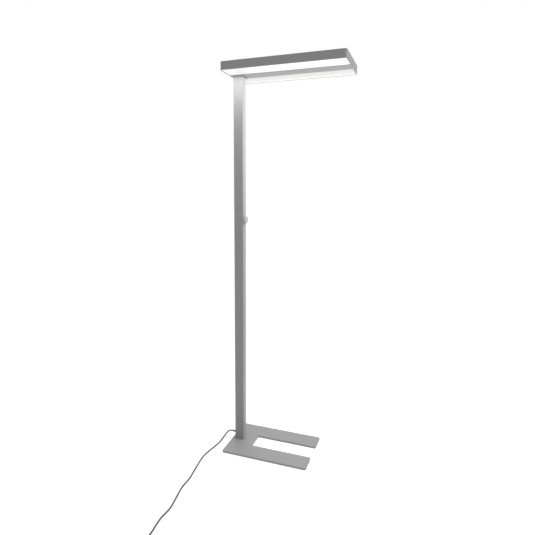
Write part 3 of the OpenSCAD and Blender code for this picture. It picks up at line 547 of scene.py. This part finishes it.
def coilPoint(turn):
    look = cordLook
    reach = look["coilInner"] + look["coilPitch"] * abs(turn - look["turnsIn"])
    climbed = (turn - look["turnsIn"] + look["riseTurns"] / 2) / look["riseTurns"]
    height = look["coilHeight"] + look["coilRise"] * min(1, max(0, climbed))
    angle = math.pi + 2 * math.pi * turn
    middle = look["coilMiddle"]
    return Vector((middle[0] + reach * math.cos(angle), middle[1] + reach * math.sin(angle), height))


def makeCord():
    look = cordLook
    route = smoothRoute(look["route"], look["stepsAPoint"])
    count = round(look["turns"] * look["stepsATurn"])
    coil = [coilPoint(i / look["stepsATurn"]) for i in range(count + 1)]
    coilEnd = coil[-1] + Vector((look["lead"], 0, 0))
    tail = smoothRoute([coilEnd + Vector(p) for p in look["plugRoute"]], look["stepsAPoint"])
    line = [Vector((p.x + look["back"], p.y, max(p.z, look["radius"]))) for p in [*route, *coil, *tail]]
    curve = bpy.data.curves.new("mainsCord", "CURVE")
    curve.dimensions = "3D"
    curve.twist_mode = "MINIMUM"
    curve.bevel_depth = look["radius"]
    curve.bevel_resolution = look["roundness"]
    curve.use_fill_caps = True
    spline = curve.splines.new("POLY")
    spline.points.add(len(line) - 1)
    for point, spot in zip(spline.points, line):
        point.co = (*spot, 1)
    spline.use_smooth = True
    cord = bpy.data.objects.new("mainsCord", curve)
    scene.collection.objects.link(cord)
    curve.materials.append(finishes["cord_pvc"])
    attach(cord, "stand")
    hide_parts("power_cord", "cord_coil", "plug_lead")
    return cord, line


cord, cordLine = makeCord()
plugStart = cordLine[-1]

# strain relief on the post: a flange and a ringed sleeve that narrows towards the cord
reliefLook = {
    "bore": 0.00356, "body": 0.0055, "flange": 0.0075, "flangeDeep": 0.002, "edge": 0.0005, "root": 0.0053,
    "tip": 0.0042, "tipEdge": 0.0004, "rings": 7, "groove": 0.00065, "steps": 48, "sharp": 40,
}


def ringedOutline(start, end, rootR, tipR, rings, groove):
    # points (along, radius) of a tapered sleeve with grooves between its rings
    ring = ((0.0, 0), (0.62, 0), (0.7, groove), (0.92, groove))  # share of the ring's length, and cut
    points = []
    for k in range(rings):
        for share, cut in ring:
            t = (k + share) / rings
            points.append((start + (end - start) * t, rootR + (tipR - rootR) * t - cut))
    return [*points, (end, tipR)]


def makeRelief():
    look = reliefLook
    low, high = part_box("cord_gland")
    face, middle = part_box("mast")[0].x, (low.z + high.z) / 2
    front = face - look["flangeDeep"]
    sleeve = ringedOutline(front, low.x, look["root"], look["tip"], look["rings"], look["groove"])
    outline = [
        (high.x, look["bore"]), (high.x, look["body"]), (face, look["body"]),
        (face, look["flange"] - look["edge"] / 2), (face - look["edge"] / 2, look["flange"]),
        (front + look["edge"], look["flange"]), (front, look["flange"] - look["edge"]),
        *sleeve[:-1],
        (low.x + look["tipEdge"], look["tip"]), (low.x, look["tip"] - look["tipEdge"]),
        (low.x, look["bore"]),
    ]
    bm = bmesh.new()
    spunRound(bm, [(x, 0, middle + r) for x, r in outline], (0, 0, middle), (1, 0, 0), look["steps"])
    return settle(bm, "strainRelief", "stand", "grey_nylon", ("cord_gland",), look["sharp"])


makeRelief()

# plug: the moulded body, and rings on its sleeve, which widens away from the lead
plugLook = {
    "ease": 0.0005, "sleeveR": 0.0043, "sleeveWidens": 0.0014, "sleeveLong": 0.028,
    "ringStart": 0.006, "ringGap": 0.0036, "rings": 6, "ringR": 0.0006, "ringLong": 1.6, "ringSides": 8,
    "steps": 56, "sharp": 60,
}


def makePlug():
    look = plugLook
    body = easedCopy("plug_body", "plugBody", "stand", look["ease"])
    bm = bmesh.new()
    turns = [2 * math.pi * k / look["ringSides"] for k in range(look["ringSides"])]
    for k in range(look["rings"]):
        along = look["ringStart"] + k * look["ringGap"]
        reach = look["sleeveR"] + look["sleeveWidens"] * along / look["sleeveLong"]
        ring = [
            (
                plugStart.x + along + look["ringR"] * math.cos(a) * look["ringLong"],
                plugStart.y,
                plugStart.z + reach + look["ringR"] * math.sin(a),
            )
            for a in turns
        ]
        spunRound(bm, ring, plugStart, (1, 0, 0), look["steps"])
    rings = settle(bm, "plugSleeveRings", "stand", "plug_pvc", (), look["sharp"], False)
    return [body, rings]


plugPieces = makePlug()

# tie: a strap round all the turns; its loose end is lapped over on top and lifts a little at its tip
tieLook = {
    "wide": 0.012, "thick": 0.0006, "low": 0.0004, "high": 0.0163, "inner": 0.0237875, "outer": 0.0553875,
    "corner": 0.0021, "cornerSteps": 5, "angle": 45, "lapNarrower": 0.0004,
    "lap": [(0.0335, 0.01691), (0.0405, 0.01693), (0.0475, 0.01697), (0.0525, 0.01712), (0.0556, 0.0176)],
    "ease": 0.00015, "easeSteps": 2, "sharp": 50,
}


def makeTie():
    look = tieLook
    inner, outer, low, high = (look[k] for k in ("inner", "outer", "low", "high"))
    side = look["wide"] / 2
    bm = bmesh.new()
    corners = [(inner, low), (outer, low), (outer, high), (inner, high)]
    bm.faces.new([bm.verts.new((r, -side, z)) for r, z in corners])
    bmesh.ops.bevel(
        bm, geom=list(bm.verts), offset=look["corner"], affect="VERTICES", segments=look["cornerSteps"],
        profile=0.5, material=-1,
    )
    pushed = bmesh.ops.extrude_face_region(bm, geom=list(bm.faces))
    farEdge = [v for v in pushed["geom"] if isinstance(v, bmesh.types.BMVert)]
    bmesh.ops.translate(bm, verts=farEdge, vec=(0, look["wide"], 0))
    caps = [f for f in bm.faces if abs(f.normal.y) > 0.9]
    bmesh.ops.delete(bm, geom=caps, context="FACES_ONLY")
    bmesh.ops.recalc_face_normals(bm, faces=bm.faces)
    lapSide = side - look["lapNarrower"]
    first = [bm.verts.new((r, -lapSide, z)) for r, z in look["lap"]]
    second = [bm.verts.new((r, lapSide, z)) for r, z in look["lap"]]
    for k in range(len(first) - 1):
        bm.faces.new((first[k], first[k + 1], second[k + 1], second[k]))
    spin = Matrix.Rotation(math.radians(look["angle"]), 3, "Z")
    bmesh.ops.rotate(bm, verts=bm.verts, cent=(0, 0, 0), matrix=spin)
    middle = cordLook["coilMiddle"]
    bmesh.ops.translate(bm, verts=bm.verts, vec=(cordLook["back"] + middle[0], middle[1], 0))
    tie = settle(bm, "coilTie", "stand", "black_nylon", ("coil_tie",), look["sharp"], False)
    wall = tie.modifiers.new("wall", "SOLIDIFY")
    wall.thickness, wall.offset = look["thick"], 0
    edge = tie.modifiers.new("edge", "BEVEL")
    edge.width, edge.segments = look["ease"], look["easeSteps"]
    edge.limit_method, edge.angle_limit = "ANGLE", math.radians(look["sharp"])
    return tie


tie = makeTie()
print("plug, strain relief and tie made")

# how far each sharp edge is eased, in metres; the post's corners are already round
eased = {
    "base": 0.0005, "pads": 0.0003, "post": 0, "adapter": 0.0004, "rails": 0.0003, "spine": 0.0003,
    "panels": 0.0003, "knob": 0.0003,
}

easedCopy("base_plate", "basePlate", "stand", eased["base"], 3)
easedCopy("base_pads", "basePads", "stand", eased["pads"])
easedCopy("mast", "post", "stand", eased["post"])
easedCopy("head_adapter", "headAdapter", "stand", eased["adapter"])
print("base and post made")

for node, name in (
    ("near_rail", "nearRail"), ("far_rail", "farRail"), ("mast_end_rail", "mastEndRail"),
    ("free_end_rail", "freeEndRail"), ("corner_pieces", "cornerPieces"),
):
    easedCopy(node, name, "stand", eased["rails"])
easedCopy("spine_profile", "spine", "stand", eased["spine"])
easedCopy("spine_strip", "topStrip", "stand", eased["spine"])
for node, name in (
    ("near_diffuser", "nearDiffuser"), ("far_diffuser", "farDiffuser"),
    ("near_uplight_cover", "nearUplightCover"), ("far_uplight_cover", "farUplightCover"),
):
    easedCopy(node, name, "stand", eased["panels"])
easedCopy("dimmer_knob", "knob", "knob", eased["knob"])
print("head and knob made")

studio = {
    "floor": 0.6,  # how much of the light the floor sends back
    "floorLift": 0.6,  # added where the camera or a reflection sees the floor, so that it is white
    "floorReach": 60,
    "floorDrop": 0.0002,
    "ambient": 0.31,
    "suns": {  # strength, width in degrees, turn in degrees
        "over": (0.84, 60, (4, 0, 0)),
        "right": (1.05, 40, (0, 66, 14)),
        "bounce": (1.97, 60, (180, 0, 0)),
    },
    # the lamp's own light on its post and rim: lowest and highest x and y of a glow, how far it hangs under
    # the post's top, its turn in degrees, and its radiance
    "glows": {
        "nearGlow": (-0.45, -0.05, -0.17, -0.06, 0.0004, 0, 6.3),
        "nearEdge": (-0.45, -0.05, -0.4, -0.17, 0.0004, 0, 1.0),
        "closeGlow": (-0.3, -0.2, -0.06, -0.0192, 0.0004, 0, 2.0),
        "closeRight": (-0.2252, -0.17, -0.06, 0.06, 0.0004, 0, 3.0),
        "farGlow": (-0.45, -0.05, 0.019, 0.31, 0.0004, 0, 6.2),
        "rightGlow": (0.12, 0.5, -0.2, 0.2, 0.0004, 0, 15.0),
        "lipGlow": (-0.27, 0.3, 0.132, 0.156, 0.015, 180, 2.4),
    },
}


def seenRay(sheet):
    path = sheet.add("ShaderNodeLightPath", out="Is Camera Ray")
    return (path + path.at("Is Glossy Ray") + path.at("Is Transmission Ray")).least(1.0)


def makeFloor():
    bm = bmesh.new()
    bmesh.ops.create_grid(bm, x_segments=1, y_segments=1, size=studio["floorReach"])
    bmesh.ops.translate(bm, verts=bm.verts, vec=(0, 0, -studio["floorDrop"]))
    mesh = bpy.data.meshes.new("floor")
    bm.to_mesh(mesh)
    bm.free()
    floor = bpy.data.objects.new("floor", mesh)
    scene.collection.objects.link(floor)
    material, sheet = newFinish("floorPaper")
    grey = studio["floor"]
    matt = sheet.add("ShaderNodeBsdfDiffuse", None, {"Color": (grey, grey, grey, 1)})
    added = seenRay(sheet) * studio["floorLift"]
    lift = sheet.add("ShaderNodeEmission", None, {"Color": (1, 1, 1, 1), "Strength": added})
    both = sheet.add("ShaderNodeAddShader", None, {0: matt, 1: lift})
    sheet.add("ShaderNodeOutputMaterial", None, {"Surface": both})
    mesh.materials.append(material)
    floor.visible_shadow = False  # the sun below it stands for the light that the floor sends up


def makeWorld():
    world = bpy.data.worlds.new("studio")
    scene.world = world
    world.use_nodes = True
    sheet = Sheet(world.node_tree)
    seen = seenRay(sheet)
    strength = seen + (1 - seen) * studio["ambient"]
    back = sheet.add("ShaderNodeBackground", None, {"Color": (1, 1, 1, 1), "Strength": strength})
    sheet.add("ShaderNodeOutputWorld", None, {"Surface": back})


def makeLamps():
    for name, (power, width, turn) in studio["suns"].items():
        lamp = bpy.data.lights.new(name, "SUN")
        lamp.energy, lamp.angle = power, math.radians(width)
        holder = bpy.data.objects.new(name, lamp)
        holder.rotation_euler = [math.radians(a) for a in turn]
        scene.collection.objects.link(holder)
    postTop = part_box("mast")[1].z
    for name, (left, right, front, back, drop, turn, radiance) in studio["glows"].items():
        lamp = bpy.data.lights.new(name, "AREA")
        lamp.shape = "RECTANGLE"
        lamp.size, lamp.size_y = right - left, back - front
        lamp.energy = radiance * math.pi * lamp.size * lamp.size_y
        holder = bpy.data.objects.new(name, lamp)
        holder.location = ((left + right) / 2, (front + back) / 2, postTop - drop)
        holder.rotation_euler.x = math.radians(turn)
        scene.collection.objects.link(holder)
        holder.visible_camera = holder.visible_glossy = holder.visible_transmission = False


makeFloor()
makeWorld()
makeLamps()
scene.view_settings.view_transform = "Standard"
print("studio made")
